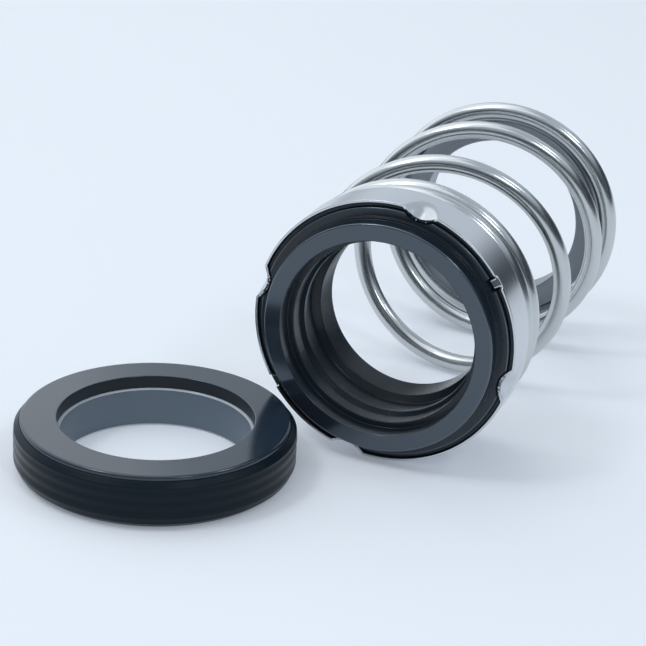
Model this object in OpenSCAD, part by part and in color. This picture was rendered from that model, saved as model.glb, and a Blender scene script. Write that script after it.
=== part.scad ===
// Rotary shaft seal set: a spring-loaded rotary head lying on its side and its stationary seat lying flat.
// The head's axis runs along +Y, the seal face looks to -Y, +Z is up and the origin is in the shaft bore.

/* [Shaft] */
// Diameter of the shaft the rubber bellows grips, mm
shaft_d = 35; // [32:0.5:37]

/* [Rotary face ring] */
// Distance the lapped face stands in front of the shell rim, mm
nose_h = 3.8; // [2.5:0.1:5]
// Step from the flange's edge in to the side of the nose, mm
nose_inset = 2.15; // [1.5:0.05:2.6]
// Radial room between the shaft and the ring's wide mouth, mm
mouth_play = 2.5; // [2:0.1:3]
// Radial room between the shaft and the ring's bore, mm
ring_play = 1.2; // [0.8:0.1:1.5]
// Distance the ring runs back behind the shell rim, mm
ring_back = 3; // [2.5:0.1:3.4]

/* [Stamped shell] */
// Outside diameter of the shell's wide band, mm
shell_od = 54; // [53.5:0.1:56]
// Sheet thickness of the shell, mm
shell_t = 0.5; // [0.4:0.05:0.6]
// Length of the wide band, from the rim to the spring shoulder, mm
band_l = 9.2; // [9:0.1:11]
// Length of the neck behind the shoulder, mm
neck_l = 7.6; // [5:0.1:9]
// Depth of the four drive dents at the rim, mm
dent_depth = 1.3; // [1:0.1:1.5]
// Radius of the round punch that makes each dent, mm
dent_r = 4.8; // [4:0.1:6]
// Lean of the punch, which sets how far back each dent fades out, degrees
dent_lean = 20; // [16:1:24]
// Angle of the first dent from the top, degrees
dent_turn = 13; // [0:1:40]
// Width of the two square tabs bent in at the rim, mm
tab_w = 1.8; // [1.4:0.1:2.6]
// Length of each tab towards the axis, mm
tab_l = 1.6; // [1.2:0.1:1.8]

/* [Rubber bellows] */
// Thickness of the rubber lip between the face ring and the shell, mm
lip_t = 0.9; // [0.7:0.05:1.1]
// Wall thickness of the bellows tail, mm
tail_t = 2.7; // [2:0.1:2.9]
// Length of the gripping bore in the tail, mm
grip_l = 6.4; // [5:0.1:7]
// Position of the tail's rear end behind the shell rim, mm
tail_end = 18.5; // [18.2:0.1:20]
// Radial room between the shaft and the relieved hollow, mm
hollow_play = 1.4; // [1:0.1:1.6]

/* [Drive band] */
// Sheet thickness of the band round the tail, mm
band_t = 0.6; // [0.4:0.05:0.9]
// Length of the band round the tail, mm
band_w = 6; // [4:0.1:6.4]
// Radial room between the band and the shell's neck, mm
band_play = 1.1; // [0.5:0.1:1.5]

/* [Spring] */
// Wire diameter, mm
wire_d = 3.7; // [3.2:0.1:3.9]
// Radial room between the coils and the shell's neck, mm
neck_play = 0.4; // [0.3:0.05:0.6]
// Rise per turn where the coils stand open, mm
open_pitch = 27.4; // [20:0.1:28]
// Gap between neighbouring closed turns, mm
closed_gap = 0.5; // [0.2:0.1:1]
// Closed turns lying on the shoulder before the spring opens
front_closed = 1.45; // [1:0.01:1.6]
// Turns over which the pitch opens at the front
front_ramp = 0.4; // [0.3:0.05:0.8]
// Turns that stand fully open
open_turns = 1.25; // [1:0.01:2]
// Turns over which the pitch closes again towards the rear
rear_ramp = 2.13; // [1.5:0.01:2.3]
// Closed turns at the rear end
rear_closed = 0.27; // [0.1:0.01:0.5]
// Angle of the wire's front end from the top, degrees
wire_start = -90; // [-180:5:0]

/* [Spring collar] */
// Radial room between the shaft and the collar's bore, mm
collar_play = 0.35; // [0.2:0.05:0.8]
// Radial room between the collar and the coils round it, mm
collar_fit = 0.3; // [0.2:0.05:0.5]
// Length of the collar, mm
collar_l = 7.3; // [5:0.1:9]

/* [Stationary seat] */
// Outside diameter of the seat ring, mm
seat_od = 52.5; // [51.5:0.1:54]
// Radial room between the shaft and the seat's bore, mm
seat_play = 1.1; // [0.8:0.1:1.5]
// Width of the ledge in the seat's bore, mm
ledge_w = 0.55; // [0.3:0.05:1]
// Depth of the ledge below the lapped face, mm
ledge_depth = 2.7; // [1.5:0.1:4]
// Height of the whole seat, mm
seat_h = 10.7; // [9.5:0.1:13]
// Thickness of the rubber cup's wall at its rim, mm
cup_wall = 1.25; // [1:0.05:1.5]
// Thickness of the cup's floor, mm
cup_floor = 2; // [1.5:0.1:2.6]
// Distance the seat ring stands above the cup's rim, mm
cup_drop = 0.9; // [0.6:0.1:1.6]
// Distance of the seat's centre to the left of the shell's side, mm
seat_side = 10.3; // [10.3:0.1:16]
// Distance the cup's rear edge reaches past the shell rim, mm
seat_reach = 4.5; // [-4:0.1:4.5]

/* [Hidden] */
$fn = 96;
shell_r = shell_od / 2;
shell_in = shell_r - shell_t;
ring_r = shell_in - lip_t;
flange_front = -0.15;
shoulder_front = -0.8;
grip_r = shaft_d / 2;
tail_r = grip_r + tail_t;
tail_chamfer = 0.5;
grip_start = tail_end - tail_chamfer - grip_l;
// the origin lies in the middle of the gripping bore
origin_z = grip_start + grip_l / 2;
neck_in = tail_r + band_t + band_play;
neck_r = neck_in + shell_t;
coil_r = neck_r + neck_play + wire_d / 2;
seat_gap = 0.3;
dent_axis_r = shell_r - dent_depth + dent_r;
dent_play = 0.3;
tab_turn = 43.5;
tab_outer = shell_in + 0.3;
tab_inner = tab_outer - tab_l;
tab_z = 0.5;
notch_w = tab_w + 0.8;
notch_h = 0.7;
closed_pitch = wire_d + closed_gap;
rear_start = front_closed + open_turns;
total_turns = rear_start + rear_ramp + rear_closed;
first_coil_z = band_l + seat_gap + wire_d / 2;
wire_sides = 14;
turn_steps = 60;
seat_r = seat_od / 2;
cup_r = seat_r + cup_wall;
seat_bore_r = grip_r + seat_play;
seat_mouth_r = seat_bore_r + ledge_w;
seat_left = shell_r + seat_side;
seat_front = cup_r - seat_reach;

// places a piece drawn along its own z axis on the head's axis, rim at z = 0, angles from the top
module on_head() {
  translate([0, -origin_z, 0])
    rotate([-90, 0, 0])
      children();
}

// places a piece drawn upwards from its underside where the seat lies
module on_seat() {
  translate([-seat_left, -seat_front - origin_z, -shell_r])
    children();
}

// the four punch shapes, made larger by grow; each leans out towards the rear
module dent_punches(grow) {
  for (k = [0:3])
    rotate([0, 0, dent_turn + 90 * k])
      translate([0, -dent_axis_r, 0])
        rotate([dent_lean, 0, 0])
          translate([0, 0, -2 * nose_h])
            cylinder(r = dent_r + grow, h = 2 * (nose_h + band_l));
}

// repeats a piece at the two tab positions
module at_tabs() {
  for (k = [0:1])
    rotate([0, 0, dent_turn + tab_turn + 180 * k])
      children();
}

// lapped nose, stepped shoulder and wide flange, notched for the dents and the tabs
module seal_ring() {
  nose_r = ring_r - nose_inset;
  mouth_r = grip_r + mouth_play;
  bore_r = grip_r + ring_play;
  color([0.27, 0.30, 0.34])
    on_head()
      difference() {
        rotate_extrude()
          polygon([
            [mouth_r + 0.15, -nose_h],
            [nose_r - 0.3, -nose_h],
            [nose_r, -nose_h + 0.3],
            [nose_r, shoulder_front],
            [nose_r + 0.45, shoulder_front],
            [nose_r + 0.45, flange_front],
            [ring_r - 0.3, flange_front],
            [ring_r, flange_front + 0.3],
            [ring_r, ring_back],
            [bore_r, ring_back],
            [bore_r, 0.2],
            [bore_r + 0.2, 0],
            [mouth_r, 0],
            [mouth_r, -nose_h + 0.15]
          ]);
        dent_punches(shell_t + dent_play);
        at_tabs()
          translate([-notch_w / 2, -ring_r - 1, flange_front - 1])
            cube([notch_w, ring_r + 1 - tab_inner + 0.3, 1 - flange_front + tab_z + shell_t + 0.2]);
      }
}

// rubber boot: lip round the ring, pressed collar, relieved hollow and gripping tail
module bellows() {
  hollow_r = grip_r + hollow_play;
  lip_r = grip_r + 0.5;
  fold_r = hollow_r + 1.8;
  collar_in = (fold_r + shell_in) / 2;
  collar_end = band_l - shell_t;
  color([0.07, 0.075, 0.085])
    on_head()
      difference() {
        rotate_extrude()
          polygon([
            [ring_r, 0.7],
            [shell_in, 0.7],
            [shell_in, collar_end - 0.8],
            [shell_in - 0.8, collar_end],
            [collar_in, collar_end],
            [collar_in, ring_back + 3],
            [fold_r, ring_back + 3],
            [fold_r, collar_end],
            [tail_r, collar_end + 1.2],
            [tail_r, tail_end],
            [grip_r + tail_chamfer, tail_end],
            [grip_r, tail_end - tail_chamfer],
            [grip_r, grip_start],
            [hollow_r, grip_start - 1],
            [hollow_r, ring_back + 3],
            [lip_r, ring_back + 2.2],
            [lip_r, ring_back + 1],
            [grip_r + ring_play, ring_back],
            [ring_r, ring_back]
          ]);
        dent_punches(shell_t);
        at_tabs()
          translate([-notch_w / 2, -shell_r, 0])
            cube([notch_w, shell_r - tab_inner + 0.3, tab_z + shell_t + 0.2]);
      }
}

// outline of the shell's outside, or of its inside when inset by the sheet thickness
module shell_outline(inset, front, back) {
  round_r = 1.2 - inset;
  union() {
    polygon([
      [0, front],
      [shell_r - inset, front],
      [shell_r - inset, band_l - 1.2],
      [shell_r - 1.2, band_l - inset],
      [neck_r - inset, band_l - inset],
      [neck_r - inset, back],
      [0, back]
    ]);
    translate([shell_r - 1.2, band_l - 1.2])
      circle(r = round_r);
  }
}

// stamped cup in one sheet: rim with dents and tabs, wide band, rounded shoulder, open neck
module shell() {
  color([0.72, 0.73, 0.74])
    on_head() {
      difference() {
        difference() {
          rotate_extrude()
            shell_outline(0, 0, band_l + neck_l);
          dent_punches(0);
        }
        difference() {
          rotate_extrude()
            shell_outline(shell_t, -1, band_l + neck_l + 1);
          dent_punches(shell_t);
        }
        at_tabs()
          translate([-notch_w / 2, -shell_r - 1, -1])
            cube([notch_w, 3, 1 + notch_h]);
      }
      at_tabs()
        translate([-tab_w / 2, -tab_outer, tab_z])
          cube([tab_w, tab_l, shell_t]);
    }
}

// plain steel band squeezed round the tail inside the neck
module drive_band() {
  color([0.66, 0.67, 0.68])
    on_head()
      translate([0, 0, tail_end - 0.4 - band_w])
        difference() {
          cylinder(r = tail_r + band_t, h = band_w);
          translate([0, 0, -1])
            cylinder(r = tail_r, h = band_w + 2);
        }
}

// integral of a smooth step, used to open and close the pitch gently
function ramp(x) = x <= 0 ? 0 : x >= 1 ? x - 0.5 : x * x * x - x * x * x * x / 2;

// height of the wire's centre after t turns
function coil_z(t) =
  first_coil_z + closed_pitch * t
  + (open_pitch - closed_pitch)
  * (front_ramp * ramp((t - front_closed) / front_ramp) - rear_ramp * ramp((t - rear_start) / rear_ramp));

// slope of the wire at t turns
function coil_slope(t) = (coil_z(t + 0.001) - coil_z(t - 0.001)) / (0.004 * PI * coil_r);

// one point of the wire's round section, at angle a in turn t
function wire_point(t, a) =
  let (s = atan(coil_slope(t)), u = wire_d / 2 * cos(a), w = wire_d / 2 * sin(a), r = coil_r + u, f = 360 * t + wire_start)
  [r * sin(f) - w * sin(s) * cos(f), -r * cos(f) - w * sin(s) * sin(f), coil_z(t) + w * cos(s)];

// round wire coil with closed ends, one turn resting on the shell's shoulder
module spring() {
  steps = ceil(total_turns * turn_steps);
  n = wire_sides;
  ts = [for (i = [0:steps]) total_turns * i / steps];
  points = [for (t = ts) for (j = [0:n - 1]) wire_point(t, 360 * j / n)];
  sides = [for (i = [0:steps - 1]) for (j = [0:n - 1])
    [i * n + j, (i + 1) * n + j, (i + 1) * n + (j + 1) % n, i * n + (j + 1) % n]];
  start_cap = [for (j = [0:n - 1]) j];
  end_cap = [for (j = [n - 1:-1:0]) steps * n + j];
  color([0.78, 0.78, 0.77])
    on_head()
      polyhedron(points = points, faces = concat(sides, [start_cap, end_cap]));
}

// ring inside the rear turns that centres the spring on the shaft, its rear face just behind the wire
module spring_collar() {
  collar_back = coil_z(total_turns) + wire_d / 2 + 0.2;
  color([0.52, 0.54, 0.56])
    on_head()
      translate([0, 0, collar_back - collar_l])
        rotate_extrude()
          polygon([
            [grip_r + collar_play + 0.3, 0],
            [coil_r - wire_d / 2 - collar_fit - 0.3, 0],
            [coil_r - wire_d / 2 - collar_fit, 0.3],
            [coil_r - wire_d / 2 - collar_fit, collar_l - 0.3],
            [coil_r - wire_d / 2 - collar_fit - 0.3, collar_l],
            [grip_r + collar_play + 0.3, collar_l],
            [grip_r + collar_play, collar_l - 0.3],
            [grip_r + collar_play, 0.3]
          ]);
}

// stationary ring: lapped face upwards, bore with a wide mouth and a ledge
module seat_ring() {
  color([0.30, 0.34, 0.38])
    on_seat()
      rotate_extrude()
        polygon([
          [seat_bore_r, cup_floor],
          [seat_bore_r, seat_h - ledge_depth - 0.2],
          [seat_bore_r + 0.2, seat_h - ledge_depth],
          [seat_mouth_r, seat_h - ledge_depth],
          [seat_mouth_r, seat_h - 0.2],
          [seat_mouth_r + 0.2, seat_h],
          [seat_r - 0.4, seat_h],
          [seat_r, seat_h - 0.4],
          [seat_r, seat_h - cup_drop - 1.2],
          [seat_r - 1, seat_h - cup_drop - 2.2],
          [seat_r - 1, cup_floor + 1],
          [seat_r - 2, cup_floor]
        ]);
}

// rubber cup that carries the seat ring: ribbed wall and flat floor
module seat_cup() {
  color([0.06, 0.07, 0.08])
    on_seat()
      rotate_extrude()
        difference() {
          union() {
            polygon([
              [seat_bore_r + 0.3, 0],
              [cup_r - 2.2, 0],
              [cup_r - 0.7, 1.2],
              [cup_r - 0.2, 2.6],
              [cup_r - 0.2, seat_h - cup_drop - 1],
              [cup_r - 1, seat_h - cup_drop],
              [seat_r, seat_h - cup_drop],
              [seat_r, seat_h - cup_drop - 1.2],
              [seat_r - 1, seat_h - cup_drop - 2.2],
              [seat_r - 1, cup_floor + 1],
              [seat_r - 2, cup_floor],
              [seat_bore_r + 0.3, cup_floor]
            ]);
            for (k = [0:2])
              translate([cup_r - 0.9, 3 + 2.1 * k])
                circle(r = 0.9);
          }
          translate([cup_r + 0.1, 1.5])
            circle(r = 0.5);
        }
}

seal_ring();
bellows();
shell();
drive_band();
spring();
spring_collar();
seat_ring();
seat_cup();
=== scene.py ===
import math

import bpy
from mathutils import Matrix, Vector


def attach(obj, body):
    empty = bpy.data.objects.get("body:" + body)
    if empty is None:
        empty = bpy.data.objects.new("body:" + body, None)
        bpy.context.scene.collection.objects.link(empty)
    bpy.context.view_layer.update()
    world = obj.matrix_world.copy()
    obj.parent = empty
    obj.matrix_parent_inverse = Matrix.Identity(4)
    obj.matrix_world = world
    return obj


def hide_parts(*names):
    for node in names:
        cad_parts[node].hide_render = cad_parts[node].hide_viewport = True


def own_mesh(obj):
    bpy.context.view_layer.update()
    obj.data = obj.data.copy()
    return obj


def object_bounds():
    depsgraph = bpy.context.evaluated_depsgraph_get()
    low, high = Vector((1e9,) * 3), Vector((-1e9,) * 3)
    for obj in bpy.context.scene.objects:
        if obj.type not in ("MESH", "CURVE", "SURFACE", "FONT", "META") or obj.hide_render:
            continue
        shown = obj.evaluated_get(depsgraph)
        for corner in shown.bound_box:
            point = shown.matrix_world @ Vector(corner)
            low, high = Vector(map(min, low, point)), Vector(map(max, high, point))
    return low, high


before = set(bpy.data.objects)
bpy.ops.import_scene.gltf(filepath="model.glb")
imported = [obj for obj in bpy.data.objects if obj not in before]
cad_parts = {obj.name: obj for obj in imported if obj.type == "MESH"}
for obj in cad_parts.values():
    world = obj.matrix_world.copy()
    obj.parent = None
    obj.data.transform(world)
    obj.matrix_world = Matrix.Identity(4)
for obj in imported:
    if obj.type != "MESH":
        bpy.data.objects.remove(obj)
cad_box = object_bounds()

# Camera: a long lens looking down at the pair from the front right of the head, so the
# seal face, the bore and the row of coils are all seen at once. Focal length in pixels.
eye = Vector((0.1212, -0.3751, 0.1577))
turn_left, look_down, lean = math.radians(20.35), math.radians(22.35), math.radians(3.06)
camera_data = bpy.data.cameras.new("studio_camera")
frame_px, focal_px = 646.0, 2114.6
camera_data.sensor_width = 36.0
camera_data.lens = camera_data.sensor_width * focal_px / frame_px
camera_data.clip_start = 0.01
camera_data.clip_end = 50.0
camera = bpy.data.objects.new("studio_camera", camera_data)
bpy.context.collection.objects.link(camera)
camera.matrix_world = (
    Matrix.Translation(eye)
    @ Matrix.Rotation(turn_left, 4, "Z")
    @ Matrix.Rotation(math.pi / 2 - look_down, 4, "X")
    @ Matrix.Rotation(lean, 4, "Z")
)
bpy.context.scene.camera = camera
bpy.context.scene.view_settings.view_transform = "Standard"


# Table: a pale, slightly bluish sweep that both pieces rest on. It is matt, takes the
# soft shadows and is not part of the seal.
table_z = cad_box[0][2]
table_mesh = bpy.data.meshes.new("table")
half = 2.2
table_mesh.from_pydata([
    (-half, -half, table_z), (half, -half, table_z), (half, half, table_z), (-half, half, table_z),
], [], [(0, 1, 2, 3)])
table = bpy.data.objects.new("table", table_mesh)
bpy.context.collection.objects.link(table)


def new_material(name, colour, roughness, metallic=0.0):
    """A Principled material with its main constants set on its own sockets."""
    material = bpy.data.materials.new(name)
    material.use_nodes = True
    nodes = material.node_tree.nodes
    shader = nodes["Principled BSDF"]
    shader.inputs["Base Color"].default_value = (*colour, 1.0)
    shader.inputs["Roughness"].default_value = roughness
    shader.inputs["Metallic"].default_value = metallic
    return material, nodes, material.node_tree.links, shader


def add_node(nodes, kind, **settings):
    """One node with its properties set."""
    made = nodes.new(kind)
    for key, value in settings.items():
        setattr(made, key, value)
    return made


table_paint, nodes, links, shader = new_material("pale_table", (0.79, 0.84, 0.89), 0.85)
shader.inputs["Emission Color"].default_value = (0.78, 0.84, 0.97, 1.0)
shader.inputs["Emission Strength"].default_value = 0.215
shader.inputs["Specular IOR Level"].default_value = 0.15
mottle = add_node(nodes, "ShaderNodeTexNoise")
mottle.inputs["Scale"].default_value = 3.0
mottle.inputs["Detail"].default_value = 2.0
tint = add_node(nodes, "ShaderNodeMix", data_type="RGBA")
tint.inputs["A"].default_value = (0.785, 0.835, 0.890, 1.0)
tint.inputs["B"].default_value = (0.800, 0.845, 0.890, 1.0)
place = add_node(nodes, "ShaderNodeTexCoord")
links.new(place.outputs["Object"], mottle.inputs["Vector"])
links.new(mottle.outputs["Fac"], tint.inputs["Factor"])
links.new(tint.outputs["Result"], shader.inputs["Base Color"])
table.data.materials.append(table_paint)


# Studio light: two wide soft boxes on the left and overhead, three small cool lamps that
# draw the glints on edges and wire, and a pale room with a dark card behind on the right.
def soft_box(name, at, size, watts, colour):
    """A square area lamp that looks at the head's shaft bore."""
    data = bpy.data.lights.new(name, "AREA")
    data.shape = "SQUARE"
    data.size = size
    data.energy = watts
    data.color = colour
    lamp = bpy.data.objects.new(name, data)
    bpy.context.collection.objects.link(lamp)
    lamp.location = at
    lamp.rotation_euler = (-Vector(at)).to_track_quat("-Z", "Y").to_euler()


daylight, cool_light = (0.98, 0.99, 1.0), (0.86, 0.93, 1.0)
soft_box("key_box", (-0.75, 0.35, 0.85), 1.6, 4.5, daylight)
soft_box("top_box", (-0.30, -0.20, 1.10), 1.0, 2.0, daylight)
soft_box("left_lamp", (-0.50, -0.43, 1.01), 0.22, 1.6, cool_light)
soft_box("front_lamp", (0.66, -0.56, 0.79), 0.22, 1.2, cool_light)
soft_box("right_lamp", (0.71, 0.13, 0.96), 0.22, 0.8, cool_light)

room = bpy.data.worlds.new("pale_room")
room.use_nodes = True
bpy.context.scene.world = room
nodes, links = room.node_tree.nodes, room.node_tree.links
nodes.clear()
out = add_node(nodes, "ShaderNodeOutputWorld")
around = add_node(nodes, "ShaderNodeTexCoord")
aim = add_node(nodes, "ShaderNodeSeparateXYZ")
links.new(around.outputs["Generated"], aim.inputs["Vector"])


def tone_by_height(stops):
    """Room colours from the horizon up to straight overhead."""
    ramp_node = add_node(nodes, "ShaderNodeValToRGB")
    elements = ramp_node.color_ramp.elements
    elements[0].position, elements[1].position = stops[0][0], stops[-1][0]
    elements[0].color, elements[1].color = (*stops[0][1], 1), (*stops[-1][1], 1)
    for at, colour in stops[1:-1]:
        elements.new(at).color = (*colour, 1)
    links.new(aim.outputs["Z"], ramp_node.inputs["Fac"])
    return ramp_node


def share_between(axis, low, high):
    """A soft 0 to 1 share along one axis of the view into the room."""
    spread = add_node(nodes, "ShaderNodeMapRange", interpolation_type="SMOOTHSTEP")
    spread.inputs["From Min"].default_value = low
    spread.inputs["From Max"].default_value = high
    links.new(aim.outputs[axis], spread.inputs["Value"])
    return spread


back_tone = tone_by_height([
    (0.0, (0.08, 0.10, 0.125)), (0.06, (0.13, 0.15, 0.18)), (0.16, (0.54, 0.61, 0.69)),
    (0.28, (0.74, 0.82, 0.92)), (0.42, (0.72, 0.80, 0.89)), (0.62, (0.58, 0.65, 0.73)),
    (1.0, (0.52, 0.58, 0.66))])
front_tone = tone_by_height([
    (0.0, (0.03, 0.038, 0.05)), (0.30, (0.07, 0.085, 0.105)), (0.55, (0.42, 0.47, 0.53)),
    (1.0, (0.52, 0.58, 0.66))])
left_tone = tone_by_height([
    (0.0, (0.40, 0.45, 0.51)), (0.08, (0.58, 0.65, 0.73)), (0.20, (0.74, 0.82, 0.92)),
    (0.42, (0.72, 0.80, 0.89)), (0.62, (0.58, 0.65, 0.73)), (1.0, (0.52, 0.58, 0.66))])
to_left = share_between("X", 0.0, -0.35)
to_front = share_between("Y", 0.2, -0.3)
to_right = share_between("X", 0.24, 0.45)
below_card = share_between("Z", 0.58, 0.42)
card = add_node(nodes, "ShaderNodeMath", operation="MULTIPLY")
links.new(to_right.outputs["Result"], card.inputs[0])
links.new(below_card.outputs["Result"], card.inputs[1])
with_card = add_node(nodes, "ShaderNodeMix", data_type="RGBA")
with_card.inputs["B"].default_value = (0.045, 0.055, 0.07, 1)
links.new(card.outputs[0], with_card.inputs["Factor"])
back_mix = add_node(nodes, "ShaderNodeMix", data_type="RGBA")
links.new(to_left.outputs["Result"], back_mix.inputs["Factor"])
links.new(back_tone.outputs["Color"], back_mix.inputs["A"])
links.new(left_tone.outputs["Color"], back_mix.inputs["B"])
links.new(back_mix.outputs["Result"], with_card.inputs["A"])
mirror_tone = add_node(nodes, "ShaderNodeMix", data_type="RGBA")
links.new(to_front.outputs["Result"], mirror_tone.inputs["Factor"])
links.new(with_card.outputs["Result"], mirror_tone.inputs["A"])
links.new(front_tone.outputs["Color"], mirror_tone.inputs["B"])
mirror_light = add_node(nodes, "ShaderNodeBackground")
links.new(mirror_tone.outputs["Result"], mirror_light.inputs["Color"])
room_light = add_node(nodes, "ShaderNodeBackground")
room_light.inputs["Color"].default_value = (0.86, 0.91, 0.96, 1)
room_light.inputs["Strength"].default_value = 0.42
seen_light = add_node(nodes, "ShaderNodeBackground")
seen_light.inputs["Color"].default_value = (0.80, 0.86, 0.93, 1)
ray = add_node(nodes, "ShaderNodeLightPath")
glossy_mix = add_node(nodes, "ShaderNodeMixShader")
camera_mix = add_node(nodes, "ShaderNodeMixShader")
links.new(ray.outputs["Is Glossy Ray"], glossy_mix.inputs["Fac"])
links.new(room_light.outputs["Background"], glossy_mix.inputs[1])
links.new(mirror_light.outputs["Background"], glossy_mix.inputs[2])
links.new(ray.outputs["Is Camera Ray"], camera_mix.inputs["Fac"])
links.new(glossy_mix.outputs["Shader"], camera_mix.inputs[1])
links.new(seen_light.outputs["Background"], camera_mix.inputs[2])
links.new(camera_mix.outputs["Shader"], out.inputs["Surface"])


# Face ring of the rotary head: fine-grained carbon, turned to a stepped flange and a raised
# nose, and lapped flat on the front. Its outer nose and flange edges are coloured lighter
# as a painted highlight. Four scallops in its flange take the shell's dents.
MM = 0.001
origin_z = 14.8
shaft_r = 17.5
shell_r, sheet_t = 27.0, 0.5
shell_in = shell_r - sheet_t
ring_r, nose_r = 25.6, 23.45
nose_h, ring_back = 3.8, 3.0
mouth_r, ring_bore_r = 20.0, 18.7
first_dent, tab_turn, tab_w, tab_in = 13.0, 56.5, 1.8, 25.2
notch_room = 0.3
tab_slot, slot_depth, slot_r = 1.3, 1.25, 25.0
flange_from, notch_blend = nose_r + 0.8, 0.2
lapped_h, nose_highlight_band, flange_highlight_band = 0.32, 0.30, 0.22
punch_r, punch_lean, dent_depth = 4.5, math.radians(24.0), 1.25
punch_at = shell_r - dent_depth + punch_r


def rounded(corners, longest=0.6, steps=5):
    """A closed outline in (radius, height), each corner given with its own small radius."""
    points = []
    count = len(corners)
    for i in range(count):
        r0, h0, _ = corners[i - 1]
        r1, h1, fillet = corners[i]
        r2, h2, _ = corners[(i + 1) % count]
        before = Vector((r0 - r1, h0 - h1))
        after = Vector((r2 - r1, h2 - h1))
        near = Vector((r1, h1))
        if fillet <= 0:
            points.append(near)
            continue
        a, b = before.normalized(), after.normalized()
        opening = a.angle(b)
        reach = min(fillet / math.tan(opening / 2), before.length * 0.45, after.length * 0.45)
        radius = reach * math.tan(opening / 2)
        centre = near + (a + b).normalized() * (radius / math.sin(opening / 2))
        start, end = near + a * reach, near + b * reach
        va, vb = start - centre, end - centre
        swing = va.angle_signed(vb)
        for k in range(steps + 1):
            turn = -swing * k / steps
            points.append(centre + Matrix.Rotation(turn, 2) @ va)
    full = []
    margin, too_short = 0.06, 0.16
    for i, p in enumerate(points):
        q = points[(i + 1) % len(points)]
        full.append(p)
        gap = (q - p).length
        if gap > too_short:
            edge = (q - p) / gap
            inner = gap - 2 * margin
            cuts = max(1, math.ceil((inner - margin) / longest))
            full.append(p + edge * margin)
            for k in range(1, cuts):
                full.append(p + edge * (margin + inner * k / cuts))
            full.append(q - edge * margin)
    return [(p.x, p.y) for p in full]


def head_point(r, h, angle):
    """Row position of a point at a radius, a height behind the rim and an angle from the top."""
    return (r * math.sin(angle) * MM, (h - origin_z) * MM, r * math.cos(angle) * MM)


def turned(name, outline, at_point, angles, shape=None):
    """A ring swept from an outline; shape may move each (radius, height, angle) point."""
    verts, faces = [], []
    count = len(outline)
    for angle in angles:
        for r, h in outline:
            if shape:
                r, h = shape(r, h, angle)
            verts.append(at_point(r, h, angle))
    rings = len(angles)
    for i in range(rings):
        j = (i + 1) % rings
        for k in range(count):
            m = (k + 1) % count
            faces.append((i * count + k, i * count + m, j * count + m, j * count + k))
    mesh = bpy.data.meshes.new(name)
    mesh.from_pydata(verts, [], faces)
    mesh.update()
    made = bpy.data.objects.new(name, mesh)
    bpy.context.collection.objects.link(made)
    for polygon in mesh.polygons:
        polygon.use_smooth = True
    return made


def even_angles(count):
    """Angles all round at an even step."""
    return [2 * math.pi * k / count for k in range(count)]


def angles_with(features, count, width, fine):
    """Even angles, with closer ones inside the width of each feature angle."""
    values = set()
    for k in range(count):
        values.add(round(360.0 * k / count, 4))
    for middle in features:
        steps = int(width / fine)
        for k in range(-steps, steps + 1):
            values.add(round((middle + k * fine) % 360.0, 4))
    ordered = sorted(values)
    kept = [ordered[0]]
    for value in ordered[1:]:
        if value - kept[-1] > fine * 0.6:
            kept.append(value)
    return [math.radians(value) for value in kept]


dent_angles = [first_dent + 90 * k for k in range(4)]
tab_angles = [tab_turn, tab_turn + 180]


def punch_limit(height, angle, grow):
    """Radius left under the leaning round punch at this height and angle."""
    best = 1e9
    flat = math.cos(punch_lean)
    for middle in dent_angles:
        off = (angle - math.radians(middle) + math.pi) % (2 * math.pi) - math.pi
        if abs(off) > 0.6:
            continue
        at = punch_at + height * math.tan(punch_lean)
        reach = punch_r + grow
        c, s = math.cos(off), math.sin(off)
        a = flat * flat * c * c + s * s
        b = at * flat * flat * c
        inside = b * b - a * (flat * flat * at * at - reach * reach)
        if inside > 0:
            best = min(best, (b - math.sqrt(inside)) / a)
    return best


def soft_min(a, b, blend):
    """The smaller of two radii, with a rounded change from one to the other."""
    h = min(1.0, max(0.0, 0.5 + 0.5 * (b - a) / blend))
    return b + (a - b) * h - blend * h * (1 - h)


def near_tab(angle, half_width, radius):
    """True where an angle lies within a width of either tab."""
    for middle in tab_angles:
        off = (angle - math.radians(middle) + math.pi) % (2 * math.pi) - math.pi
        if abs(off) * radius < half_width:
            return True
    return False


ring_angles = angles_with(dent_angles + tab_angles, 300, 12, 0.4)


def notch_ring(r, h, angle):
    """Cuts the dent scallops and the tab notches into the ring's flange."""
    if r > flange_from:
        limit = punch_limit(h, angle, sheet_t + notch_room)
        r = max(flange_from, soft_min(r, limit, notch_blend))
        if near_tab(angle, tab_slot, slot_r) and h < slot_depth:
            r = min(r, tab_in - 0.35)
    return r, h


ring_outline = rounded([
    (mouth_r, -nose_h, 0.12),
    (nose_r, -nose_h, 0.34),
    (nose_r, -0.8, 0.1),
    (nose_r + 0.45, -0.8, 0.12),
    (nose_r + 0.45, -0.15, 0.1),
    (ring_r, -0.15, 0.25),
    (ring_r, ring_back, 0.1),
    (ring_bore_r, ring_back, 0.1),
    (ring_bore_r, 0.0, 0.2),
    (mouth_r, 0.0, 0.1),
], longest=0.5)
seal_ring = turned("face_ring", ring_outline, head_point, ring_angles, notch_ring)


def add_sockets(group, side, **kinds):
    """Named inputs or outputs of a shared node group."""
    for label, kind in kinds.items():
        group.interface.new_socket(label, in_out=side, socket_type="NodeSocket" + kind)


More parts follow.
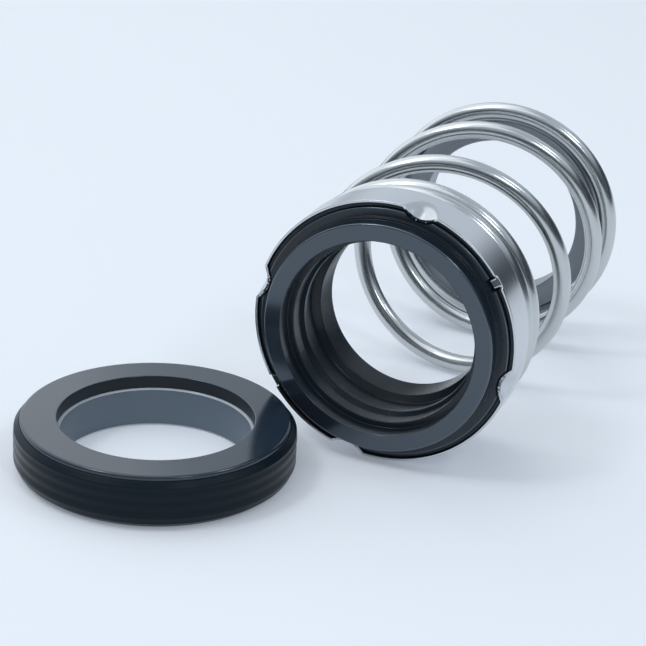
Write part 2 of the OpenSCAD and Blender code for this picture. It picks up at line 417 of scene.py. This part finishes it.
grain_group = bpy.data.node_groups.new("fine_grain", "ShaderNodeTree")
add_sockets(grain_group, "INPUT", Scale="Float", Low="Color", High="Color",
            Smooth="Float", Rough="Float")
add_sockets(grain_group, "OUTPUT", Color="Color", Roughness="Float", Height="Float")
gn, gl = grain_group.nodes, grain_group.links
gin, gout = gn.new("NodeGroupInput"), gn.new("NodeGroupOutput")
where = gn.new("ShaderNodeTexCoord")
fine_noise = gn.new("ShaderNodeTexNoise")
fine_noise.inputs["Detail"].default_value = 4.0
broad_noise = gn.new("ShaderNodeTexNoise")
broad_noise.inputs["Scale"].default_value = 90.0
broad_noise.inputs["Detail"].default_value = 2.0
gl.new(where.outputs["Object"], fine_noise.inputs["Vector"])
gl.new(where.outputs["Object"], broad_noise.inputs["Vector"])
gl.new(gin.outputs["Scale"], fine_noise.inputs["Scale"])
both = add_node(gn, "ShaderNodeMath", operation="ADD")
halved = add_node(gn, "ShaderNodeMath", operation="MULTIPLY")
halved.inputs[1].default_value = 0.5
gl.new(fine_noise.outputs["Fac"], both.inputs[0])
gl.new(broad_noise.outputs["Fac"], both.inputs[1])
gl.new(both.outputs[0], halved.inputs[0])
grain_colour = add_node(gn, "ShaderNodeMix", data_type="RGBA")
gl.new(halved.outputs[0], grain_colour.inputs["Factor"])
gl.new(gin.outputs["Low"], grain_colour.inputs["A"])
gl.new(gin.outputs["High"], grain_colour.inputs["B"])
gl.new(grain_colour.outputs["Result"], gout.inputs["Color"])
grain_rough = add_node(gn, "ShaderNodeMapRange")
gl.new(broad_noise.outputs["Fac"], grain_rough.inputs["Value"])
grain_rough.inputs["From Min"].default_value = 0.3
grain_rough.inputs["From Max"].default_value = 0.7
gl.new(gin.outputs["Smooth"], grain_rough.inputs["To Min"])
gl.new(gin.outputs["Rough"], grain_rough.inputs["To Max"])
gl.new(grain_rough.outputs["Result"], gout.inputs["Roughness"])
gl.new(fine_noise.outputs["Fac"], gout.inputs["Height"])


def grained(name, low, high, smooth, rough, scale, bump, depth=0.0001):
    """A dull moulded or lapped surface with a fine grain."""
    material, nodes, links, shader = new_material(name, low, smooth)
    grain = nodes.new("ShaderNodeGroup")
    grain.node_tree = grain_group
    grain.inputs["Scale"].default_value = scale
    grain.inputs["Low"].default_value = (*low, 1)
    grain.inputs["High"].default_value = (*high, 1)
    grain.inputs["Smooth"].default_value = smooth
    grain.inputs["Rough"].default_value = rough
    relief = nodes.new("ShaderNodeBump")
    relief.inputs["Strength"].default_value = bump
    relief.inputs["Distance"].default_value = depth
    links.new(grain.outputs["Color"], shader.inputs["Base Color"])
    links.new(grain.outputs["Roughness"], shader.inputs["Roughness"])
    links.new(grain.outputs["Height"], relief.inputs["Height"])
    links.new(relief.outputs["Normal"], shader.inputs["Normal"])
    return material, nodes, links, shader


carbon, nodes, links, shader = grained(
    "turned_carbon", (0.009, 0.016, 0.024), (0.015, 0.024, 0.034), 0.20, 0.30, 2600.0, 0.03)
shader.inputs["Specular IOR Level"].default_value = 0.45
lapped, nodes, links, shader = grained(
    "lapped_carbon", (0.012, 0.017, 0.026), (0.017, 0.022, 0.031), 0.10, 0.15, 2600.0, 0.0)
shader.inputs["IOR"].default_value = 1.6
shader.inputs["Specular IOR Level"].default_value = 0.95
shader.inputs["Specular Tint"].default_value = (0.75, 0.88, 1.0, 1.0)
seal_ring.data.materials.append(carbon)
seal_ring.data.materials.append(lapped)
# Edge finish: carbon coloured lighter than the lapped face, a painted highlight along the edges.
edge_highlight_paint, nodes, links, shader = grained(
    "carbon_edge_painted_highlight", (0.020, 0.029, 0.040), (0.030, 0.041, 0.054), 0.10, 0.15, 2600.0, 0.0)
shader.inputs["IOR"].default_value = 2.0
shader.inputs["Specular Tint"].default_value = (0.78, 0.90, 1.0, 1.0)
seal_ring.data.materials.append(edge_highlight_paint)
# The nose's outer edge and the flange's outer edge get the lighter edge colour, a painted
# highlight.
for polygon in seal_ring.data.polygons:
    ahead = origin_z + polygon.center.y / MM
    across = math.hypot(polygon.center.x, polygon.center.z) / MM
    if ahead < lapped_h - nose_h:
        polygon.material_index = 1
        if across > nose_r - nose_highlight_band:
            polygon.material_index = 2
    elif across > ring_r - flange_highlight_band and ahead < 0.1:
        polygon.material_index = 2
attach(seal_ring, "rotary_head")
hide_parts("seal_ring")


# Bellows: one moulding of black nitrile rubber. Its lip lies round the face ring, its thick
# collar is squeezed against the shell's shoulder, and its tail grips the shaft.
tail_end, tail_r = 18.5, 20.2
grip_start = tail_end - 0.5 - 6.4
hollow_r = shaft_r + 1.4
collar_end = 8.7
relief_out, relief_in = 23.6, 20.7
squeeze, lip_blend = 0.02, 0.15


def notch_lip(r, h, angle):
    """Presses the rubber lip in under the dents and clears it from the tabs."""
    if r > ring_r - 0.3:
        limit = punch_limit(h, angle, sheet_t + squeeze)
        r = max(ring_r - 1.3, soft_min(r, limit, lip_blend))
    if near_tab(angle, tab_slot, slot_r) and h < slot_depth and r > tab_in:
        h = max(h, slot_depth)
    return r, h


bellows_outline = rounded([
    (ring_r, 0.7, 0.15),
    (shell_in - squeeze, 0.7, 0.25),
    (shell_in - squeeze, collar_end - 0.8, 0.2),
    (shell_in - squeeze - 0.8, collar_end, 0.2),
    (relief_out, collar_end, 0.2),
    (relief_out, ring_back + 3, 0.3),
    (relief_in, ring_back + 3, 0.5),
    (relief_in, collar_end, 0.4),
    (tail_r, collar_end + 1.2, 0.4),
    (tail_r, tail_end, 0.3),
    (shaft_r + 0.5, tail_end, 0.2),
    (shaft_r, tail_end - 0.5, 0.3),
    (shaft_r, grip_start, 0.4),
    (hollow_r, grip_start - 1, 0.5),
    (hollow_r, ring_back + 3, 0.4),
    (shaft_r + 0.5, ring_back + 2.2, 0.3),
    (shaft_r + 0.5, ring_back + 1, 0.35),
    (ring_bore_r, ring_back, 0.05),
    (ring_r, ring_back, 0.05),
], longest=0.7)
bellows = turned("rubber_bellows", bellows_outline, head_point, ring_angles, notch_lip)
rubber, nodes, links, shader = grained(
    "black_rubber", (0.010, 0.018, 0.027), (0.016, 0.026, 0.037), 0.20, 0.30, 3200.0, 0.03)
shader.inputs["Specular IOR Level"].default_value = 0.3
bellows.data.materials.append(rubber)
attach(bellows, "rotary_head")
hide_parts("bellows")


# Shell: one cup pressed from bright stainless sheet. Four round dents are punched in at the
# rim to turn the face ring, and two square tabs are bent in to keep it from falling out.
band_l, neck_r, neck_l = 9.2, 22.4, 7.6
dent_blend_out, dent_blend_in = 0.9, 0.5
rim_cut, rim_slot_r, tab_mid_r = 0.7, 26.7, 26.0
shell_angles = angles_with(dent_angles + tab_angles, 360, 13, 0.3)


def dent_sheet(r, h, angle):
    """Punches the dents into the band and cuts the rim back at the tabs."""
    if r > neck_r + 2 and h < band_l - 1:
        outside = r > shell_in + 0.25
        limit = punch_limit(h, angle, 0.0 if outside else sheet_t)
        r = soft_min(r, limit, dent_blend_out if outside else dent_blend_in)
    if near_tab(angle, tab_slot, rim_slot_r) and h < rim_cut and r > shell_in - 1:
        h = rim_cut + (h - rim_cut) * 0.02
    return r, h


shell_outline = rounded([
    (shell_r, 0.0, 0.12),
    (shell_r, band_l, 0.6),
    (neck_r, band_l, 0.5),
    (neck_r, band_l + neck_l, 0.12),
    (neck_r - sheet_t, band_l + neck_l, 0.12),
    (neck_r - sheet_t, band_l - sheet_t, 0.2),
    (shell_in, band_l - sheet_t, 0.7),
    (shell_in, 0.0, 0.12),
], longest=0.35, steps=6)
shell = turned("stamped_shell", shell_outline, head_point, shell_angles, dent_sheet)

drawn_group = bpy.data.node_groups.new("drawn_marks", "ShaderNodeTree")
add_sockets(drawn_group, "INPUT", Across="Float", Along="Float", Low="Color", High="Color",
            Smooth="Float", Rough="Float")
add_sockets(drawn_group, "OUTPUT", Color="Color", Roughness="Float", Height="Float")
gn, gl = drawn_group.nodes, drawn_group.links
gin, gout = gn.new("NodeGroupInput"), gn.new("NodeGroupOutput")
where = gn.new("ShaderNodeTexCoord")
parts = gn.new("ShaderNodeSeparateXYZ")
gl.new(where.outputs["Object"], parts.inputs["Vector"])
around_axis = add_node(gn, "ShaderNodeMath", operation="ARCTAN2")
gl.new(parts.outputs["X"], around_axis.inputs[0])
gl.new(parts.outputs["Z"], around_axis.inputs[1])
flat_xz = gn.new("ShaderNodeCombineXYZ")
gl.new(parts.outputs["X"], flat_xz.inputs["X"])
gl.new(parts.outputs["Z"], flat_xz.inputs["Y"])
from_axis = add_node(gn, "ShaderNodeVectorMath", operation="LENGTH")
gl.new(flat_xz.outputs["Vector"], from_axis.inputs[0])
turns = add_node(gn, "ShaderNodeMath", operation="MULTIPLY")
gl.new(around_axis.outputs[0], turns.inputs[0])
gl.new(gin.outputs["Along"], turns.inputs[1])
deep = add_node(gn, "ShaderNodeMath", operation="MULTIPLY")
gl.new(parts.outputs["Y"], deep.inputs[0])
gl.new(gin.outputs["Across"], deep.inputs[1])
wide = add_node(gn, "ShaderNodeMath", operation="MULTIPLY")
gl.new(from_axis.outputs["Value"], wide.inputs[0])
gl.new(gin.outputs["Across"], wide.inputs[1])
marks_at = gn.new("ShaderNodeCombineXYZ")
gl.new(turns.outputs[0], marks_at.inputs["X"])
gl.new(deep.outputs[0], marks_at.inputs["Y"])
gl.new(wide.outputs[0], marks_at.inputs["Z"])
marks = gn.new("ShaderNodeTexNoise")
marks.inputs["Scale"].default_value = 1.0
marks.inputs["Detail"].default_value = 3.0
gl.new(marks_at.outputs["Vector"], marks.inputs["Vector"])
mark_colour = add_node(gn, "ShaderNodeMix", data_type="RGBA")
gl.new(marks.outputs["Fac"], mark_colour.inputs["Factor"])
gl.new(gin.outputs["Low"], mark_colour.inputs["A"])
gl.new(gin.outputs["High"], mark_colour.inputs["B"])
gl.new(mark_colour.outputs["Result"], gout.inputs["Color"])
mark_rough = gn.new("ShaderNodeMapRange")
mark_rough.inputs["From Min"].default_value = 0.35
mark_rough.inputs["From Max"].default_value = 0.65
gl.new(marks.outputs["Fac"], mark_rough.inputs["Value"])
gl.new(gin.outputs["Smooth"], mark_rough.inputs["To Min"])
gl.new(gin.outputs["Rough"], mark_rough.inputs["To Max"])
gl.new(mark_rough.outputs["Result"], gout.inputs["Roughness"])
gl.new(marks.outputs["Fac"], gout.inputs["Height"])


def drawn_steel(name, low, high, smooth, rough, across, along, bump):
    """Bright steel with fine marks that run round the axis."""
    material, nodes, links, shader = new_material(name, high, smooth, 1.0)
    drawn = nodes.new("ShaderNodeGroup")
    drawn.node_tree = drawn_group
    drawn.inputs["Across"].default_value = across
    drawn.inputs["Along"].default_value = along
    drawn.inputs["Low"].default_value = (*low, 1)
    drawn.inputs["High"].default_value = (*high, 1)
    drawn.inputs["Smooth"].default_value = smooth
    drawn.inputs["Rough"].default_value = rough
    relief = nodes.new("ShaderNodeBump")
    relief.inputs["Strength"].default_value = bump
    relief.inputs["Distance"].default_value = 0.00005
    links.new(drawn.outputs["Color"], shader.inputs["Base Color"])
    links.new(drawn.outputs["Roughness"], shader.inputs["Roughness"])
    links.new(drawn.outputs["Height"], relief.inputs["Height"])
    links.new(relief.outputs["Normal"], shader.inputs["Normal"])
    return material


shell_steel = drawn_steel(
    "shell_stainless", (0.56, 0.58, 0.60), (0.63, 0.65, 0.67), 0.18, 0.23, 3600.0, 2.0, 0.03)
shell.data.materials.append(shell_steel)


def bent_tab(middle):
    """One square tab: the sheet runs from the rim notch and folds in over the ring's edge."""
    tab_front, tab_root = 0.45, 1.6
    tab_out = shell_r - squeeze
    section = rounded([
        (tab_out, tab_root, 0.0),
        (tab_out, tab_front, 0.55),
        (tab_in, tab_front, 0.1),
        (tab_in, tab_front + sheet_t, 0.1),
        (shell_in, tab_front + sheet_t, 0.08),
        (shell_in, tab_root, 0.0),
    ], longest=1.0, steps=4)
    half_angle = tab_w / 2 / tab_mid_r
    slices = [-1.0, -0.9, -0.72, 0.72, 0.9, 1.0]
    inset = [0.12, 0.03, 0.0, 0.0, 0.03, 0.12]
    middle_r = sum(p[0] for p in section) / len(section)
    middle_h = sum(p[1] for p in section) / len(section)
    verts, faces = [], []
    count = len(section)
    for s, shrink in zip(slices, inset):
        for r, h in section:
            away = math.hypot(r - middle_r, h - middle_h) or 1.0
            r2 = r - (r - middle_r) / away * shrink
            h2 = h - (h - middle_h) / away * shrink
            verts.append(head_point(r2, h2, math.radians(middle) + s * half_angle))
    last = len(slices) - 1
    for i in range(last):
        for k in range(count):
            m = (k + 1) % count
            faces.append((i * count + k, i * count + m, (i + 1) * count + m, (i + 1) * count + k))
    faces.append(tuple(range(count - 1, -1, -1)))
    faces.append(tuple(last * count + k for k in range(count)))
    mesh = bpy.data.meshes.new("rim_tab")
    mesh.from_pydata(verts, [], faces)
    mesh.update()
    made = bpy.data.objects.new("rim_tab", mesh)
    bpy.context.collection.objects.link(made)
    made.data.materials.append(shell_steel)
    made.data.materials.append(tab_face_dark_paint)
    # The tab's front face gets the dark finish, a painted dark reflection.
    for i, polygon in enumerate(mesh.polygons):
        if count * 2 <= i < count * 3 and abs(polygon.normal.y) > 0.97:
            polygon.material_index = 1
    return made


# Tab front face: the shell's steel coloured dark, a painted reflection of dark surroundings.
tab_face_dark_paint = drawn_steel(
    "tab_face_painted_reflection", (0.10, 0.115, 0.13), (0.16, 0.18, 0.20), 0.35, 0.45, 3600.0, 2.0, 0.05)
for middle in tab_angles:
    tab = bent_tab(middle)
    tab.parent = shell
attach(shell, "rotary_head")
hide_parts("shell")


# Drive band: a plain hoop of steel strip squeezed round the rubber tail so that the tail
# holds to the shaft. It is seen only from behind, inside the shell's neck.
hoop_t, hoop_w = 0.6, 6.0
hoop_rear = tail_end - 0.4
hoop_front = hoop_rear - hoop_w
band_outline = rounded([
    (tail_r, hoop_front, 0.1),
    (tail_r + hoop_t, hoop_front, 0.15),
    (tail_r + hoop_t, hoop_rear, 0.15),
    (tail_r, hoop_rear, 0.1),
], longest=1.0)
drive_band = turned("drive_hoop", band_outline, head_point, even_angles(240))
drive_band.data.materials.append(drawn_steel(
    "hoop_stainless", (0.50, 0.51, 0.52), (0.60, 0.61, 0.62), 0.28, 0.38, 3500.0, 4.0, 0.15))
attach(drive_band, "rotary_head")
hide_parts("drive_band")


# Spring: one length of bright drawn stainless wire, coiled right-handed, with closed turns
# at both ends. Its front turn sits on the shell's shoulder.
wire_r, coil_r = 1.85, 24.65
open_pitch, closed_pitch = 27.4, 4.2
front_closed, front_ramp, open_turns = 1.45, 0.4, 1.25
rear_start, rear_ramp, rear_closed = front_closed + open_turns, 2.13, 0.27
total_turns = rear_start + rear_ramp + rear_closed
first_gap, wire_start = 0.3, -90.0
first_coil = band_l + first_gap + wire_r


def pitch_ramp(x):
    """Integral of a smooth step from closed to open pitch."""
    if x <= 0:
        return 0.0
    if x >= 1:
        return x - 0.5
    return x ** 3 - x ** 4 / 2


def coil_height(t):
    """Height of the wire's centre behind the rim after t turns."""
    opened = front_ramp * pitch_ramp((t - front_closed) / front_ramp)
    closed = rear_ramp * pitch_ramp((t - rear_start) / rear_ramp)
    return first_coil + closed_pitch * t + (open_pitch - closed_pitch) * (opened - closed)


def coiled_wire(name, per_turn=110, sides=20):
    """Round wire swept along the coil, with slightly rounded cut ends."""
    cap = 0.25 / (2 * math.pi * coil_r)
    cuts = int(total_turns * per_turn)
    along = [total_turns * k / cuts for k in range(cuts + 1)]
    body = [(t, 1.0) for t in along if cap < t < total_turns - cap]
    front_end = [(0.0, 0.82), (cap * 0.3, 0.94), (cap, 1.0)]
    rear_end = [(total_turns - cap, 1.0), (total_turns - cap * 0.3, 0.94), (total_turns, 0.82)]
    stations = front_end + body + rear_end
    verts, faces = [], []
    for t, share in stations:
        slope = (coil_height(t + 0.001) - coil_height(t - 0.001)) / (0.004 * math.pi * coil_r)
        rise = math.atan(slope)
        angle = 2 * math.pi * t + math.radians(wire_start)
        for j in range(sides):
            a = 2 * math.pi * j / sides
            u, w = wire_r * share * math.cos(a), wire_r * share * math.sin(a)
            r = coil_r + u
            x = r * math.sin(angle) - w * math.sin(rise) * math.cos(angle)
            z = r * math.cos(angle) + w * math.sin(rise) * math.sin(angle)
            y = coil_height(t) + w * math.cos(rise) - origin_z
            verts.append((x * MM, y * MM, z * MM))
    rows = len(stations)
    for i in range(rows - 1):
        for j in range(sides):
            k = (j + 1) % sides
            faces.append((i * sides + j, i * sides + k, (i + 1) * sides + k, (i + 1) * sides + j))
    faces.append(tuple(range(sides - 1, -1, -1)))
    faces.append(tuple((rows - 1) * sides + j for j in range(sides)))
    mesh = bpy.data.meshes.new(name)
    mesh.from_pydata(verts, [], faces)
    lengthwise = mesh.uv_layers.new(name="along_wire")
    for polygon in mesh.polygons:
        corners = [mesh.loops[i].vertex_index for i in polygon.loop_indices]
        columns = [c % sides for c in corners]
        for i, vertex, column in zip(polygon.loop_indices, corners, columns):
            around = column
            if max(columns) - min(columns) > 1 and column == 0:
                around = sides
            row = stations[vertex // sides][0]
            lengthwise.data[i].uv = (row * 2 * math.pi * coil_r / 10.0, around / sides)
    mesh.update()
    for polygon in mesh.polygons:
        polygon.use_smooth = len(polygon.vertices) == 4
    made = bpy.data.objects.new(name, mesh)
    bpy.context.collection.objects.link(made)
    return made


spring = coiled_wire("coil_spring")
wire, nodes, links, shader = new_material("bright_wire", (0.58, 0.60, 0.61), 0.22, 1.0)
on_wire = add_node(nodes, "ShaderNodeUVMap", uv_map="along_wire")
stretch = nodes.new("ShaderNodeMapping")
stretch.inputs["Scale"].default_value = (1.2, 26.0, 1.0)
die_lines = nodes.new("ShaderNodeTexNoise")
die_lines.inputs["Scale"].default_value = 1.0
die_lines.inputs["Detail"].default_value = 3.0
line_colour = add_node(nodes, "ShaderNodeMix", data_type="RGBA")
line_colour.inputs["A"].default_value = (0.52, 0.54, 0.53, 1)
line_colour.inputs["B"].default_value = (0.64, 0.66, 0.67, 1)
line_rough = nodes.new("ShaderNodeMapRange")
line_rough.inputs["From Min"].default_value = 0.35
line_rough.inputs["From Max"].default_value = 0.65
line_rough.inputs["To Min"].default_value = 0.17
line_rough.inputs["To Max"].default_value = 0.27
relief = nodes.new("ShaderNodeBump")
relief.inputs["Strength"].default_value = 0.12
relief.inputs["Distance"].default_value = 0.00005
links.new(on_wire.outputs["UV"], stretch.inputs["Vector"])
links.new(stretch.outputs["Vector"], die_lines.inputs["Vector"])
links.new(die_lines.outputs["Fac"], line_colour.inputs["Factor"])
links.new(die_lines.outputs["Fac"], line_rough.inputs["Value"])
links.new(die_lines.outputs["Fac"], relief.inputs["Height"])
links.new(line_colour.outputs["Result"], shader.inputs["Base Color"])
links.new(line_rough.outputs["Result"], shader.inputs["Roughness"])
links.new(relief.outputs["Normal"], shader.inputs["Normal"])
spring.data.materials.append(wire)
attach(spring, "seat_and_spring")
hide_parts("spring")
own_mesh(spring)


# Spring collar: a plain turned steel ring inside the rear turns. It slides over the shaft,
# centres the spring's end and takes its thrust against a shoulder of the shaft.
collar_in, collar_out, collar_l = shaft_r + 0.35, coil_r - wire_r - 0.3, 7.3
collar_back = coil_height(total_turns) + wire_r + 0.2
collar_front = collar_back - collar_l
collar_outline = rounded([
    (collar_in, collar_front, 0.35),
    (collar_out, collar_front, 0.35),
    (collar_out, collar_back, 0.35),
    (collar_in, collar_back, 0.35),
], longest=0.8)
spring_collar = turned("spring_end_collar", collar_outline, head_point, even_angles(240))
spring_collar.data.materials.append(drawn_steel(
    "turned_collar", (0.27, 0.295, 0.32), (0.35, 0.375, 0.40), 0.36, 0.46, 5200.0, 2.0, 0.2))
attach(spring_collar, "seat_and_spring")
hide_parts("spring_collar")


# Seat ring: a dense dark ring lapped flat on top. Its bore has a wider mouth coloured darker
# as painted shade, a small ledge whose edge is coloured bright as a painted highlight, and a
# lower wall coloured paler as painted light bounced up from the table.
seat_x, seat_y, seat_floor = -37.3, -37.8, -27.0
seat_h, seat_r = 10.7, 26.25
seat_bore_r, seat_mouth_r, ledge_depth = 18.6, 19.15, 2.7
foot_r, foot_lift, ledge_bevel = seat_bore_r + 1.8, 0.35, 0.15
cup_floor, cup_drop, cup_r = 2.0, 0.9, 27.5
grip_low, grip_foot = 1.2, 2.2


def seat_point(r, h, angle):
    """Row position of a point of the seat, height counted up from the table."""
    across, along = r * math.sin(angle), r * math.cos(angle)
    return ((seat_x + across) * MM, (seat_y + along) * MM, (seat_floor + h) * MM)


seat_outline = rounded([
    (seat_bore_r, foot_lift, 0.1),
    (seat_bore_r, seat_h - ledge_depth - ledge_bevel, 0.05),
    (seat_bore_r + ledge_bevel, seat_h - ledge_depth, 0.05),
    (seat_mouth_r, seat_h - ledge_depth, 0.05),
    (seat_mouth_r, seat_h, 0.2),
    (seat_r, seat_h, 0.6),
    (seat_r, seat_h - cup_drop - grip_low, 0.1),
    (seat_r - 1, seat_h - cup_drop - grip_foot, 0.1),
    (seat_r - 1, cup_floor + 1, 0.1),
    (seat_r - 2, cup_floor, 0.1),
    (foot_r, cup_floor, 0.1),
    (foot_r, foot_lift, 0.1),
], longest=0.8)
seat_ring = turned("seat_ring_lapped", seat_outline, seat_point, even_angles(300))
# Bore colours: the mouth's dark colour is painted shade, the ledge edge's bright colour is a
# painted highlight, and the lower wall's paler colour is painted light from the table.
seat_finishes = [
    grained("lapped_seat", (0.013, 0.027, 0.045), (0.019, 0.033, 0.053), 0.12, 0.17, 2600.0, 0.0),
    grained("mouth_painted_shade", (0.006, 0.011, 0.018), (0.010, 0.016, 0.024), 0.35, 0.45, 2600.0, 0.1),
    grained("ledge_painted_highlight", (0.50, 0.56, 0.62), (0.60, 0.66, 0.72), 0.25, 0.35, 2600.0, 0.1),
    grained("bore_painted_bounce_light", (0.110, 0.150, 0.190), (0.130, 0.172, 0.215), 0.35, 0.45, 2600.0, 0.15),
]
for finish, level in zip(seat_finishes, (0.7, 0.35, 0.7, 0.6)):
    finish[3].inputs["Specular IOR Level"].default_value = level
    seat_ring.data.materials.append(finish[0])
for polygon in seat_ring.data.polygons:
    across = math.hypot(polygon.center.x / MM - seat_x, polygon.center.y / MM - seat_y)
    above = polygon.center.z / MM - seat_floor
    # Mouth wall gets the painted shade, the ledge bevel the painted highlight, and the lower bore
    # the painted bounce light.
    if across < seat_mouth_r + 0.1 and above < seat_h - 0.15:
        if above > seat_h - ledge_depth + 0.06:
            polygon.material_index = 1
        elif above > seat_h - ledge_depth - ledge_bevel - 0.01:
            polygon.material_index = 2
        else:
            polygon.material_index = 3
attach(seat_ring, "seat_and_spring")
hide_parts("seat_ring")


# Seat cup: a moulded rubber cup that holds the seat ring and seals it in its housing. Its
# outside carries soft ribs, and the ring's foot shows in its open floor.
rib_pitch, rib_rise, first_rib = 2.1, 0.12, 3.0
side_from, side_step = 2.6, 0.15
side_rows = int((seat_h - cup_drop - grip_low - side_from) / side_step) + 1


def cup_side(h):
    """Radius of the cup's ribbed outside at a height."""
    return cup_r - rib_rise / 2 * (1 - math.cos(2 * math.pi * (h - first_rib) / rib_pitch))


side_heights = [side_from + side_step * k for k in range(side_rows)]
cup_outline = rounded(
    [(foot_r + 0.05, 0.0, 0.2), (cup_r - 2.2, 0.0, 0.4), (cup_r - 0.7, 1.2, 0.4)]
    + [(cup_side(h), h, 0.0) for h in side_heights]
    + [
        (cup_r - 0.1, seat_h - cup_drop - 1.0, 0.3),
        (cup_r - 1.0, seat_h - cup_drop, 0.3),
        (seat_r, seat_h - cup_drop, 0.05),
        (seat_r, seat_h - cup_drop - grip_low, 0.05),
        (seat_r - 1, seat_h - cup_drop - grip_foot, 0.05),
        (seat_r - 1, cup_floor + 1, 0.05),
        (seat_r - 2, cup_floor, 0.05),
        (foot_r + 0.05, cup_floor, 0.1),
    ], longest=0.8)
seat_cup = turned("seat_rubber_cup", cup_outline, seat_point, even_angles(300))
moulded, nodes, links, shader = grained(
    "cup_rubber", (0.002, 0.007, 0.012), (0.005, 0.013, 0.020), 0.28, 0.38, 3200.0, 0.06)
shader.inputs["Specular IOR Level"].default_value = 0.16
seat_cup.data.materials.append(moulded)
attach(seat_cup, "seat_and_spring")
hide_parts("seat_cup")
